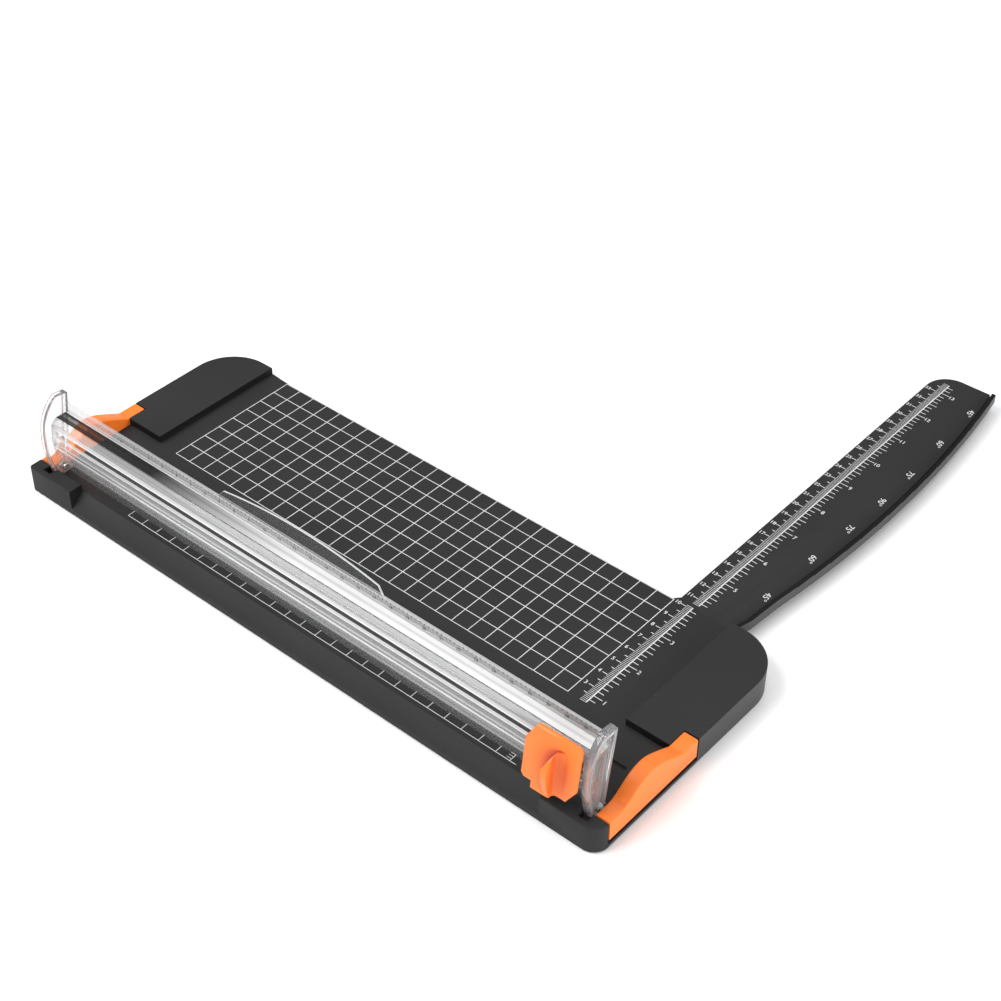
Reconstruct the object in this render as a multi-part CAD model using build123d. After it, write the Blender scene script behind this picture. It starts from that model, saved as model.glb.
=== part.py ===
from build123d import *
import math
import os

os.makedirs("parts", exist_ok=True)

# Frame: +X to the right along the cut, +Y to the rear, +Z up, the table at z = 0.
# The origin is the middle of the base's footprint. All lengths are in millimetres.

# Shared values
overrun = 5.0
running_clearance = 0.05
seat_clearance = 0.1
moving_clearance = 0.3

# Base shell
base_length = 368.0
base_depth = 141.0
base_lift = 0.8
bed_height = 11.3
end_height = 15.5
end_width = 31.6
bed_plate = 2.0
wall = 2.0
rear_corner_radius = 24.5
front_left_radius = 2.0
front_right_radius = 8.0
edge_round = 0.6
cut_line_from_front = 39.5
channel_behind_cut = 20.6
channel_ahead_of_cut = 31.5
ramp_run = 8.0
ramp_drop = 6.8
rear_recess = 1.2
rear_recess_run = 14.0
pad_roof = 2.0
rib_thickness = 1.6
rib_count = 5

# Bottom plate, its screws and the feet
bottom_plate_thickness = 1.6
screw_boss_radius = 3.5
screw_radius = 1.25
screw_length = 6.0
screw_head_radius = 2.5
screw_head_height = 1.1
recess_span_share = 1.2
recess_width_share = 0.32
recess_depth_share = 0.7
foot_radius = 5.0
foot_seat_depth = 0.5
foot_corner_inset_x = 13.0
foot_rear_inset_y = 20.5
foot_front_inset_y = 15.0
screw_inset_x = 24.0
screw_front_inset_y = 16.0
screw_bed_inset_x = 10.0
screw_bed_inset_y = 13.0
screw_mid_inset_y = 60.0

# Cutting strip
groove_width = 2.2
groove_depth = 3.5
groove_end_inset = 15.7
groove_wall = 2.4
strip_thickness = 2.5

# Rail hinge and the clear rail, measured from the hinge axis with the rail closed
hinge_ahead_of_cut = 25.0
hinge_above_bed = 1.5
open_angle = 82.0
rail_skin = 2.0
flange_behind_cut = 13.7
flange_thickness = 1.6
riser_behind_cut = 8.4
riser_lean = 0.8
riser_top = 6.5
crown_half_width = 4.5
crown_top = 9.6
rail_ahead_of_cut = 20.0
rail_front_top = 6.0
slot_width = 4.0
slot_end_land = 3.0
guide_spacing = 10.4
guide_thickness = 1.4
guide_foot = 2.5
tab_width = 106.0
tab_reach = 8.2
tab_shoulder_reach = 4.0
tab_shoulder_inset = 3.2
tab_thickness = 1.2
tab_offset_x = -7.7

# End plates and hinge pins
plate_thickness = 4.0
plate_recess = 1.2
plate_rim = 1.8
plate_back = 44.2
plate_back_height = 4.6
plate_top_back = 42.6
plate_top_height = 7.3
plate_peak = 27.0
plate_peak_height = 13.5
plate_front = -1.3
plate_front_height = 6.6
hinge_boss_radius = 3.6
hinge_boss_run = 3.4
hinge_pin_radius = 1.5
hinge_pin_free_play = 1.0
plate_to_latch_gap = 1.0
well_ahead_of_hinge = 11.5
well_behind_hinge = 5.0
well_side_room = 0.6
stop_ahead_of_hinge = 5.0

# Latches at both ends
latch_width = 7.8
latch_past_hinge = 6.0
latch_foot = 4.8
latch_end_gap = 0.8
hump_height = 8.8
latch_round = 0.9
latch_travel = 3.0
latch_rod_radius = 1.1
latch_rod_inset = 17.0
latch_rod_length = 13.6
latch_rod_height = 6.9
latch_spring_radius = 1.7
latch_spring_wire = 0.5
latch_spring_turns = 6
latch_clip_radius = 2.1
latch_clip_thickness = 0.8
# Outline of the hump: share of the half length from the cut line, share of the hump's height
hump_outline_shares = [(-0.66, 0.06), (-0.36, 0.70), (-0.03, 1.0), (0.27, 0.66), (0.60, 0.07)]

# Slider: the carriage in the rail's slot and the sprung cutter head on it
slider_length = 28.6
slider_rest_gap = 0.7
carriage_length = 20.4
carriage_neck = 3.4
carriage_foot = 3.6
carriage_top = 11.0
carriage_top_width = 7.0
cap_ahead_of_cut = 17.7
cap_behind_cut = 13.5
cap_top = 16.0
cap_wall = 1.2
cap_skirt_inset = 2.0
cap_corner_cut = 1.8
cap_back_cut_x = 5.5
cap_back_cut_y = 10.0
cap_front_cut_x = 4.7
cap_front_cut_y = 7.7
cap_edge_drop = 0.8
cap_tab_inset = 5.6
cap_tab_reach = 3.7
dish_radius = 26.0
dish_depth = 1.0
dish_offset = 4.0
fin_thickness = 3.0
fin_top = 22.8
fin_back = 6.5
fin_taper = 7.5
fin_offset_x = 3.3
fin_root_radius = 4.0
fin_root_sink = 0.005
press_travel = 2.0
stem_length = 9.0
stem_thickness = 1.5
stem_foot = 0.8
holder_plate_length = 13.0
holder_plate_width = 6.0
holder_plate_thickness = 0.8
blade_thickness = 0.4
blade_length = 10.0
blade_top = 3.3
blade_tip = -0.3
rivet_radius = 0.8
rivet_head_radius = 1.2
rivet_head = 0.3
rivet_height = 1.9
press_spring_spacing = 16.0
press_spring_radius = 0.95
press_spring_wire = 0.3
press_spring_pocket = 1.25
press_spring_foot = 5.0
press_spring_turns = 9
# Outline of the finger fin: share of its length from the front, share of its height
fin_outline_shares = [(0.03, 0.17), (0.28, 0.67), (0.48, 0.88), (0.65, 1.0), (0.78, 0.94), (0.89, 0.80),
                      (0.97, 0.50)]

# Swing-out ruler arm, measured from its pivot
pivot_inset_x = 47.7
pivot_inset_y = 11.5
arm_inner = 15.5
arm_tip_inset = 63.8
arm_neck_width = 19.9
arm_neck_reach = 22.4
arm_root_width = 21.5
arm_root_reach = 44.0
arm_belly = 27.7
arm_tip_width = 18.6
arm_heel_radius = 22.0
arm_heel_turn = 60.0
arm_toe_x = 10.5
arm_toe_y = 14.0
arm_tip_radius = 14.0
arm_thickness = 3.8
arm_drop = 2.3
arm_wall = 2.4
arm_skin = 2.2
bead_width = 2.4
bead_height = 1.8
bead_start = 16.0
bead_groove = 0.9
bead_groove_depth = 1.0
bead_round = 0.7
bay_margin = 6.0
pivot_boss_radius = 4.0
pivot_screw_radius = 1.6
pivot_screw_length = 5.0
pivot_head_radius = 3.2
pivot_head_height = 1.6
washer_radius = 9.0
washer_thickness = 0.8
friction_washer_thickness = 0.6
pivot_access_radius = 4.5

# Places worked out from the sizes above
half_length = base_length / 2
half_depth = base_depth / 2
bed_width = base_length - 2 * end_width
half_bed = bed_width / 2
cut_line_y = cut_line_from_front - half_depth
groove_end = half_length - groove_end_inset
pivot_x = half_length - pivot_inset_x
pivot_y = half_depth - pivot_inset_y
# The folded arm's tip stays this side of the base's other end
arm_reach = pivot_x + half_length - arm_tip_inset
bed_under = bed_height - bed_plate
plate_floor = base_lift + bottom_plate_thickness
hinge_y = cut_line_y - hinge_ahead_of_cut
hinge_z = bed_height + hinge_above_bed
rail_bottom = moving_clearance - hinge_above_bed
hinge_pin_engagement = latch_travel - hinge_pin_free_play
latch_length = 2 * (hinge_ahead_of_cut + latch_past_hinge)
latch_rod_spacing = latch_length - 2 * latch_rod_inset
latch_inner_x = half_length - latch_width
plate_outer_x = latch_inner_x - plate_to_latch_gap
plate_inner_x = plate_outer_x - plate_thickness
cap_foot = crown_top + press_travel + moving_clearance
cap_roof = carriage_top + press_travel + holder_plate_thickness + moving_clearance
slider_x = plate_inner_x - slider_rest_gap - slider_length / 2
notch_wall_x = latch_inner_x - seat_clearance
arm_top = bed_height - arm_drop
arm_bottom = arm_top - arm_thickness
rail_place = Pos(0, hinge_y, hinge_z) * Rot(open_angle, 0, 0)


def block(x_low, x_high, y_low, y_high, z_low, z_high):
    size = (x_high - x_low, y_high - y_low, z_high - z_low)
    middle = ((x_low + x_high) / 2, (y_low + y_high) / 2, (z_low + z_high) / 2)
    return Pos(*middle) * Box(*size)


def round_bar(radius, x_low, x_high, y, z):
    bar = Cylinder(radius, x_high - x_low)
    return Pos((x_low + x_high) / 2, y, z) * Rot(0, math.degrees(math.pi / 2), 0) * bar


def post(radius, x, y, z_low, z_high):
    return Pos(x, y, (z_low + z_high) / 2) * Cylinder(radius, z_high - z_low)


def mirrored(solid, side):
    return solid if side > 0 else mirror(solid, about=Plane.YZ)


def save(name, solid):
    export_step(solid, os.path.join("parts", name + ".step"))


def section(lines, x_low, x_high):
    face = make_face([Plane.YZ * line for line in lines])
    return Pos(x_low, 0, 0) * extrude(face, amount=x_high - x_low, dir=(1, 0, 0))


def base_plan(inset):
    plan = Rectangle(base_length - 2 * inset, base_depth - 2 * inset)
    rear = plan.vertices().sort_by(Axis.Y)[-2:]
    return fillet(rear, rear_corner_radius - inset)


def outer_plan():
    plan = base_plan(0)
    front_left = plan.vertices().sort_by(lambda corner: corner.X + corner.Y)[0]
    plan = fillet(front_left, front_left_radius)
    front_right = plan.vertices().sort_by(lambda corner: corner.Y - corner.X)[0]
    return fillet(front_right, front_right_radius)


# Places that the base shell, the bottom plate and the small parts share
channel_front_y = cut_line_y - channel_ahead_of_cut
channel_rear_y = cut_line_y + channel_behind_cut
ramp_top_y = ramp_run - half_depth
bay_front_y = pivot_y - arm_heel_radius - moving_clearance - rib_thickness
bay_left_x = pivot_x - arm_reach - bay_margin
bay_right_x = pivot_x + math.hypot(arm_toe_x, arm_toe_y) + moving_clearance
rear_foot_x = half_length - foot_corner_inset_x
foot_spots = [(0, 0)]
foot_spots += [(side * rear_foot_x, half_depth - foot_rear_inset_y) for side in (-1, 1)]
foot_spots += [(side * rear_foot_x, foot_front_inset_y - half_depth) for side in (-1, 1)]
screw_x = half_length - screw_inset_x
screw_spots = [(side * screw_x, screw_front_inset_y - half_depth) for side in (-1, 1)]
screw_spots += [(side * (half_bed - screw_bed_inset_x), half_depth - screw_mid_inset_y) for side in (-1, 1)]
screw_spots += [(side * half_bed / 2, screw_bed_inset_y - half_depth) for side in (-1, 1)]
screw_spots += [(side * half_bed / 2, bay_front_y - screw_head_radius) for side in (-1, 1)]


# Height of the ledge that the end plates' front faces come to rest on when the rail is open
def stop_height():
    turn = math.radians(open_angle)
    low = (-hinge_boss_radius * math.cos(turn), -hinge_boss_radius * math.sin(turn))
    high = (plate_front * math.cos(turn) - plate_front_height * math.sin(turn),
            plate_front * math.sin(turn) + plate_front_height * math.cos(turn))
    share = (stop_ahead_of_hinge + low[0]) / (low[0] - high[0])
    return hinge_z + low[1] + share * (high[1] - low[1]) - running_clearance


# Base shell: bed, raised ends with the rail's channel, notches for the latches, bay for the arm
def make_base_shell():
    shell = Pos(0, 0, base_lift) * extrude(outer_plan(), amount=end_height - base_lift)
    shell -= block(-half_bed, half_bed, -base_depth, base_depth, bed_height, end_height + overrun)
    shell -= block(-notch_wall_x, notch_wall_x, channel_front_y, channel_rear_y,
                   bed_height, end_height + overrun)
    ramp_low = bed_height - ramp_drop
    ramp = Polyline((ramp_top_y, bed_height), (-half_depth, ramp_low), (-half_depth - overrun, ramp_low),
                    (-half_depth - overrun, bed_height + overrun), (ramp_top_y, bed_height + overrun),
                    close=True)
    shell -= section([ramp], -half_bed, half_bed)
    recess_x = half_bed - rear_recess_run
    recess_y = half_depth - rear_recess
    recess = Polyline((-half_bed, half_depth), (-recess_x, recess_y), (recess_x, recess_y),
                      (half_bed, half_depth), close=True)
    shell -= extrude(make_face(recess), amount=end_height)
    top_edges = shell.edges().filter_by(lambda edge: edge.bounding_box().min.Z > end_height - edge_round)
    shell = fillet(top_edges, edge_round)

    # The hollow underneath, with the pads' own hollows
    hollow = extrude(base_plan(wall), amount=bed_under)
    hollow -= block(-half_length, half_length, -base_depth, ramp_top_y + wall, 0, bed_height)
    for side in (-1, 1):
        pad_hollow = block(half_bed + wall, half_length - wall, channel_rear_y + wall,
                           half_depth - rear_corner_radius, bed_under, end_height - pad_roof)
        pad_hollow -= block(notch_wall_x - wall, half_length, cut_line_y - latch_length / 2 - wall,
                            cut_line_y + latch_length / 2 + wall, 0, end_height)
        hollow += mirrored(pad_hollow, side)
    shell -= hollow

    # Ribs, screw bosses, the groove's channel, the pivot boss and the notch walls
    for index in range(rib_count):
        rib_x = (index - (rib_count - 1) / 2) * bed_width / rib_count
        shell += block(rib_x - rib_thickness / 2, rib_x + rib_thickness / 2, ramp_top_y, bay_front_y,
                       plate_floor, bed_under)
    shell += block(-half_length + wall, half_length - wall, bay_front_y, bay_front_y + rib_thickness,
                   plate_floor, bed_under)
    groove_floor = bed_height - groove_depth
    shell += block(-groove_end - groove_wall, groove_end + groove_wall,
                   cut_line_y - groove_width / 2 - groove_wall, cut_line_y + groove_width / 2 + groove_wall,
                   groove_floor - bed_plate, bed_under)
    for x, y in screw_spots:
        shell += post(screw_boss_radius, x, y, plate_floor, bed_under)
    for side in (-1, 1):
        notch_wall = block(notch_wall_x - wall, half_length - wall, cut_line_y - latch_length / 2 - wall,
                           cut_line_y + latch_length / 2 + wall, plate_floor, bed_under)
        shell += mirrored(notch_wall, side)
    boss_foot = arm_top - arm_skin - friction_washer_thickness
    shell += post(pivot_boss_radius, pivot_x, pivot_y, boss_foot, bed_under)

    # Cuts that go through what was added
    for x, y in screw_spots:
        shell -= post(screw_radius + running_clearance, x, y, 0, base_lift + screw_length + running_clearance)
    shell -= post(pivot_screw_radius + running_clearance, pivot_x, pivot_y, 0,
                  boss_foot + pivot_screw_length - bed_plate)
    shell -= block(-groove_end, groove_end, cut_line_y - groove_width / 2, cut_line_y + groove_width / 2,
                   groove_floor, end_height)
    shell -= block(bay_left_x, bay_right_x, half_depth - rear_corner_radius, base_depth, 0, bed_under)
    for side in (-1, 1):
        notch = block(notch_wall_x, half_length + overrun, cut_line_y - latch_length / 2 - latch_end_gap,
                      cut_line_y + latch_length / 2 + latch_end_gap, 0, end_height + overrun)
        well = block(plate_inner_x - well_side_room, notch_wall_x, hinge_y - stop_ahead_of_hinge,
                     hinge_y + well_behind_hinge, plate_floor, end_height + overrun)
        well += block(plate_inner_x - well_side_room, notch_wall_x, hinge_y - well_ahead_of_hinge,
                      hinge_y, stop_height(), end_height + overrun)
        shell -= mirrored(notch, side)
        shell -= mirrored(well, side)
        for along in (-1, 1):
            rod_hole = round_bar(latch_rod_radius + running_clearance, notch_wall_x - wall - overrun,
                                 notch_wall_x + overrun, cut_line_y + along * latch_rod_spacing / 2,
                                 latch_rod_height)
            shell -= mirrored(rod_hole, side)
    return shell


# Bottom plate inside the shell's walls, with a ledge under each latch
def make_bottom_plate():
    plate = Pos(0, 0, base_lift) * extrude(base_plan(wall + seat_clearance), amount=bottom_plate_thickness)
    plate -= block(-half_length, half_length, -base_depth, ramp_top_y + wall + seat_clearance, 0, bed_height)
    notch_half = latch_length / 2 + latch_end_gap - seat_clearance
    for side in (-1, 1):
        ledge = block(notch_wall_x + seat_clearance, half_length, cut_line_y - notch_half,
                      cut_line_y + notch_half, base_lift, plate_floor)
        plate += mirrored(ledge, side)
    plate -= post(pivot_access_radius, pivot_x, pivot_y, 0, bed_height)
    for x, y in screw_spots:
        plate -= post(screw_radius + moving_clearance, x, y, 0, bed_height)
        head = Cone(screw_head_radius + seat_clearance, screw_radius + seat_clearance, screw_head_height)
        plate -= Pos(x, y, base_lift + screw_head_height / 2) * head
    for x, y in foot_spots:
        plate -= post(foot_radius + seat_clearance, x, y, 0, base_lift + foot_seat_depth)
    return plate


# Cross recess for a driver, cut up into the under face of a screw head
def cross_recess(x, y, z, head_radius, head_height):
    half = recess_span_share * head_radius / 2
    arm = recess_width_share * head_radius / 2
    top = z + recess_depth_share * head_height
    recess = block(x - half, x + half, y - arm, y + arm, z - overrun, top)
    return recess + block(x - arm, x + arm, y - half, y + half, z - overrun, top)


def make_base_screws():
    screws = []
    for x, y in screw_spots:
        head = Cone(screw_head_radius, screw_radius, screw_head_height)
        screw = Pos(x, y, base_lift + screw_head_height / 2) * head
        screw += post(screw_radius, x, y, base_lift + screw_head_height / 2, base_lift + screw_length)
        screws.append(screw - cross_recess(x, y, base_lift, screw_head_radius, screw_head_height))
    return Compound(children=screws)


def make_rubber_feet():
    return Compound(children=[post(foot_radius, x, y, 0, base_lift + foot_seat_depth) for x, y in foot_spots])


def make_cutting_strip():
    strip_floor = bed_height - groove_depth
    return block(-groove_end, groove_end, cut_line_y - groove_width / 2, cut_line_y + groove_width / 2,
                 strip_floor, strip_floor + strip_thickness)


# Clear rail: a hat section with a slot along its crown, guide ribs and a lift tab
def make_rail():
    cut = hinge_ahead_of_cut
    riser_head = cut + riser_behind_cut - riser_lean
    front = cut - rail_ahead_of_cut
    hat = Polyline((cut + flange_behind_cut, rail_bottom),
                   (cut + flange_behind_cut, rail_bottom + flange_thickness),
                   (cut + riser_behind_cut, rail_bottom + flange_thickness),
                   (riser_head, riser_top),
                   (cut + crown_half_width, crown_top),
                   (cut - crown_half_width, crown_top),
                   (front, rail_front_top),
                   (front, rail_bottom),
                   (front + rail_skin, rail_bottom),
                   (front + rail_skin, rail_front_top - rail_skin),
                   (cut - crown_half_width, crown_top - rail_skin),
                   (cut + crown_half_width, crown_top - rail_skin),
                   (riser_head - rail_skin, riser_top - rail_skin),
                   (cut + riser_behind_cut - rail_skin, rail_bottom),
                   close=True)
    rail = section([hat], -plate_inner_x, plate_inner_x)
    for side in (-1, 1):
        guide_y = cut + side * guide_spacing / 2
        rail += block(-plate_inner_x, plate_inner_x, guide_y - guide_thickness / 2,
                      guide_y + guide_thickness / 2, guide_foot, crown_top - rail_skin)
    slot_half = plate_inner_x - slot_end_land
    rail -= block(-slot_half, slot_half, cut - slot_width / 2, cut + slot_width / 2,
                  crown_top - rail_skin - overrun, crown_top + overrun)
    edge = cut + flange_behind_cut
    left = tab_offset_x - tab_width / 2
    right = tab_offset_x + tab_width / 2
    low_left = (left + tab_shoulder_inset, edge + tab_shoulder_reach)
    low_right = (right - tab_shoulder_inset, edge + tab_shoulder_reach)
    tab_rim = [Line((left, edge - flange_thickness), (left, edge)), Line((left, edge), low_left),
               ThreePointArc(low_left, (tab_offset_x, edge + tab_reach), low_right),
               Line(low_right, (right, edge)), Line((right, edge), (right, edge - flange_thickness)),
               Line((right, edge - flange_thickness), (left, edge - flange_thickness))]
    tab = Pos(0, 0, rail_bottom) * extrude(make_face(tab_rim), amount=tab_thickness)
    return rail_place * (rail + tab)


# Outline of an end plate, seen along the hinge axis with the rail closed
def plate_outline():
    peak = (plate_peak, plate_peak_height)
    back_top = (plate_top_back, plate_top_height)
    front_top = (plate_front, plate_front_height)
    boss_turn = hinge_boss_radius / math.sqrt(2)
    rear_arc = TangentArc(peak, back_top, tangent=(1, 0))
    front_arc = TangentArc(peak, front_top, tangent=(-1, 0))
    boss = ThreePointArc((-hinge_boss_radius, 0), (-boss_turn, -boss_turn), (0, -hinge_boss_radius))
    corner = TangentArc((plate_back, plate_back_height), back_top, tangent=(0, 1))
    return [rear_arc, corner,
            Line((plate_back, plate_back_height), (plate_back, rail_bottom)),
            Line((plate_back, rail_bottom), (hinge_boss_run, rail_bottom)),
            Line((hinge_boss_run, rail_bottom), (0, -hinge_boss_radius)), boss,
            Line((-hinge_boss_radius, 0), front_top), front_arc]


def make_end_plate(side):
    outline = plate_outline()
    plate = section(outline, plate_inner_x, plate_outer_x)
    inner_face = offset(make_face([Plane.YZ * line for line in outline]), amount=-plate_rim)
    recess = Pos(plate_outer_x - plate_recess, 0, 0) * extrude(inner_face, amount=overrun, dir=(1, 0, 0))
    recess -= round_bar(hinge_boss_radius, plate_inner_x, plate_outer_x + overrun, 0, 0)
    plate -= recess
    plate -= round_bar(hinge_pin_radius + running_clearance, plate_inner_x + plate_recess,
                       plate_outer_x + overrun, 0, 0)
    return rail_place * mirrored(plate, side)


def make_hinge_pin(side):
    pin = round_bar(hinge_pin_radius, plate_inner_x + plate_recess,
                    latch_inner_x + hinge_pin_engagement, 0, 0)
    return rail_place * mirrored(pin, side)


# Latch: a humped grip in the base's notch, with two rods through the notch wall
def make_latch(side):
    half = latch_length / 2
    low_left = (cut_line_y - half, end_height)
    low_right = (cut_line_y + half, end_height)
    rise = [(cut_line_y + along * half, end_height + up * hump_height) for along, up in hump_outline_shares]
    crest = Spline(low_left, *rise, low_right, tangents=[(1, 0), (1, 0)])
    rim = [crest, Line(low_right, (cut_line_y + half, latch_foot)),
           Line((cut_line_y + half, latch_foot), (cut_line_y - half, latch_foot)),
           Line((cut_line_y - half, latch_foot), low_left)]
    latch = section(rim, latch_inner_x, half_length)
    crest_edges = latch.edges().filter_by(GeomType.BSPLINE)
    latch = fillet(crest_edges, latch_round)
    latch -= round_bar(hinge_pin_radius + running_clearance, latch_inner_x - overrun,
                       latch_inner_x + hinge_pin_engagement + moving_clearance, hinge_y, hinge_z)
    for along in (-1, 1):
        latch += round_bar(latch_rod_radius, latch_inner_x - latch_rod_length,
                           latch_inner_x + latch_rod_radius, cut_line_y + along * latch_rod_spacing / 2,
                           latch_rod_height)
    return mirrored(latch, side)


def coil(radius, wire, length, turns):
    path = Helix(pitch=(length - 2 * wire) / turns, height=length - 2 * wire, radius=radius)
    wire_face = Plane(origin=path @ 0, z_dir=path % 0) * Circle(wire / 2)
    return Pos(0, 0, wire) * sweep(wire_face, path=path)


def make_latch_springs(side):
    clip_x = latch_inner_x - latch_rod_length + latch_clip_thickness
    length = notch_wall_x - wall - clip_x - 2 * seat_clearance
    springs = []
    for along in (-1, 1):
        place = Pos(clip_x + seat_clearance, cut_line_y + along * latch_rod_spacing / 2, latch_rod_height)
        turned = Rot(0, math.degrees(math.pi / 2), 0)
        spring = place * turned * coil(latch_spring_radius, latch_spring_wire, length, latch_spring_turns)
        springs.append(mirrored(spring, side))
    return Compound(children=springs)


def make_latch_clips(side):
    clips = []
    low = latch_inner_x - latch_rod_length
    for along in (-1, 1):
        rod_y = cut_line_y + along * latch_rod_spacing / 2
        clip = round_bar(latch_clip_radius, low, low + latch_clip_thickness, rod_y, latch_rod_height)
        clip -= round_bar(latch_rod_radius + running_clearance, low - overrun, low + overrun, rod_y,
                          latch_rod_height)
        clips.append(mirrored(clip, side))
    return Compound(children=clips)


# Carriage: shoes above and below the rail's crown, joined through the slot
def make_carriage():
    cut = hinge_ahead_of_cut
    low_half = guide_spacing / 2 - guide_thickness / 2 - moving_clearance
    x_low = slider_x - carriage_length / 2
    x_high = slider_x + carriage_length / 2
    lower_top = crown_top - rail_skin - moving_clearance
    carriage = block(x_low, x_high, cut - low_half, cut + low_half, carriage_foot, lower_top)
    carriage += block(x_low, x_high, cut - carriage_neck / 2, cut + carriage_neck / 2,
                      carriage_foot, carriage_top)
    carriage += block(x_low, x_high, cut - carriage_top_width / 2, cut + carriage_top_width / 2,
                      crown_top + moving_clearance, carriage_top)
    stem_half = stem_length / 2 + moving_clearance
    carriage -= block(slider_x - stem_half, slider_x + stem_half, cut - carriage_neck / 2,
                      cut + carriage_neck / 2, 0, carriage_top + overrun)
    for side in (-1, 1):
        carriage -= post(press_spring_pocket, slider_x + side * press_spring_spacing / 2, cut,
                         press_spring_foot, carriage_top + overrun)
    return rail_place * carriage


def make_press_springs():
    springs = []
    length = cap_roof - press_spring_foot - 2 * seat_clearance
    for side in (-1, 1):
        place = Pos(slider_x + side * press_spring_spacing / 2, hinge_ahead_of_cut,
                    press_spring_foot + seat_clearance)
        spring = place * coil(press_spring_radius, press_spring_wire, length, press_spring_turns)
        springs.append(rail_place * spring)
    return Compound(children=springs)


# Slider cap: a plate with cut corners, a tab, a dished finger rest and a fin beside it, on an inset skirt
def make_slider_cap():
    front = hinge_ahead_of_cut - cap_ahead_of_cut
    back = hinge_ahead_of_cut + cap_behind_cut
    low = slider_x - slider_length / 2
    high = slider_x + slider_length / 2
    fin_right = slider_x + fin_offset_x
    tab_front = front - cap_tab_reach
    plan = make_face(Polyline((low, front + cap_corner_cut), (low, back - cap_back_cut_y),
                              (low + cap_back_cut_x, back), (high - cap_corner_cut, back),
                              (high, back - cap_corner_cut), (high, front + cap_front_cut_y),
                              (high - cap_front_cut_x, front), (low + cap_corner_cut, front), close=True))
    fin_left = fin_right - fin_thickness
    tab = make_face(Polyline((low + cap_tab_inset, back), (fin_right, back), (fin_right, front),
                             (fin_left, tab_front), (low + cap_tab_inset, tab_front), close=True))
    outline = plan + (tab & Pos(0, -cap_tab_reach) * plan)
    cap = Pos(0, 0, cap_roof) * extrude(outline, amount=cap_top - cap_roof)
    cap = chamfer(cap.faces().sort_by(Axis.Z)[-1].edges(), cap_edge_drop)
    skirt = offset(plan, amount=-cap_skirt_inset) - offset(plan, amount=-cap_skirt_inset - cap_wall)
    cap += Pos(0, 0, cap_foot) * extrude(skirt, amount=cap_roof - cap_foot)
    dish = Rot(math.degrees(math.pi / 2), 0, 0) * Cylinder(dish_radius, 2 * (back - front))
    cap -= Pos(fin_right + dish_offset, hinge_ahead_of_cut, cap_top - dish_depth + dish_radius) * dish
    fin_end = hinge_ahead_of_cut + fin_back
    fin_length = fin_end - tab_front
    fin_rise = fin_top - cap_roof
    crest = [(tab_front + along * fin_length, cap_roof + up * fin_rise) for along, up in fin_outline_shares]
    fin_line = Spline((tab_front, cap_roof), *crest, (fin_end, cap_roof))
    fin_side = [fin_line, Line((fin_end, cap_roof), (tab_front, cap_roof))]
    fin_plan = Polyline((fin_left, tab_front), (fin_left, fin_end - fin_taper), (fin_right, fin_end),
                        (fin_right, front), close=True)
    fin = section(fin_side, fin_left, fin_right)
    fin &= Pos(0, 0, cap_roof) * extrude(make_face(fin_plan), amount=2 * fin_rise)
    # Hollow root that runs from the fin into the finger rest
    root_edge = fin_right + fin_root_radius
    dish_rise = (fin_root_radius - dish_offset) ** 2 / (2 * dish_radius)
    root_top = cap_top - dish_depth + dish_rise - fin_root_sink + fin_root_radius
    root = block(fin_right, root_edge, front + cap_edge_drop, fin_end, cap_roof, root_top)
    hollow = Rot(math.degrees(math.pi / 2), 0, 0) * Cylinder(fin_root_radius, 2 * (back - front))
    root -= Pos(root_edge, hinge_ahead_of_cut, root_top) * hollow
    root &= section(fin_side, fin_left, root_edge)
    return rail_place * (cap + fin + root)


# Blade holder: a plate under the cap's roof and a stem down through the slot
def make_blade_holder():
    stem_back = hinge_ahead_of_cut - blade_thickness / 2
    holder = block(slider_x - stem_length / 2, slider_x + stem_length / 2, stem_back - stem_thickness,
                   stem_back, stem_foot, cap_roof)
    holder += block(slider_x - holder_plate_length / 2, slider_x + holder_plate_length / 2,
                    hinge_ahead_of_cut - holder_plate_width / 2, hinge_ahead_of_cut + holder_plate_width / 2,
                    cap_roof - holder_plate_thickness, cap_roof)
    holder -= rivet_bar(rivet_radius + running_clearance)
    return rail_place * holder


def rivet_bar(radius):
    bar = Cylinder(radius, stem_thickness + blade_thickness + 2 * overrun)
    return Pos(slider_x, hinge_ahead_of_cut, rivet_height) * Rot(math.degrees(math.pi / 2), 0, 0) * bar


def make_blade():
    half = blade_length / 2
    edge = Polyline((slider_x - half, blade_top), (slider_x + half, blade_top),
                    (slider_x + half, rivet_height), (slider_x, blade_tip), (slider_x - half, rivet_height),
                    close=True)
    face = make_face(Plane.XZ * edge)
    blade = Pos(0, hinge_ahead_of_cut - blade_thickness / 2, 0) * extrude(face, amount=blade_thickness,
                                                                         dir=(0, 1, 0))
    blade -= rivet_bar(rivet_radius + running_clearance)
    return rail_place * blade


def make_blade_rivet():
    back = hinge_ahead_of_cut + blade_thickness / 2
    front = back - blade_thickness - stem_thickness
    turned = Rot(math.degrees(math.pi / 2), 0, 0)
    shank = Pos(slider_x, (front + back) / 2, rivet_height) * turned * Cylinder(rivet_radius, back - front)
    rivet = shank
    for face_y, way in ((front, -1), (back, 1)):
        head = Cylinder(rivet_head_radius, rivet_head)
        rivet += Pos(slider_x, face_y + way * rivet_head / 2, rivet_height) * turned * head
    return rail_place * rivet


# Ruler arm: a shallow tray with a straight inner edge, a bowed rim and a bead along the rim
def arm_rim():
    middle = (arm_root_reach + arm_reach) / 2
    return ThreePointArc((arm_root_width, arm_root_reach), (arm_belly, middle), (arm_tip_width, arm_reach))


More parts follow.
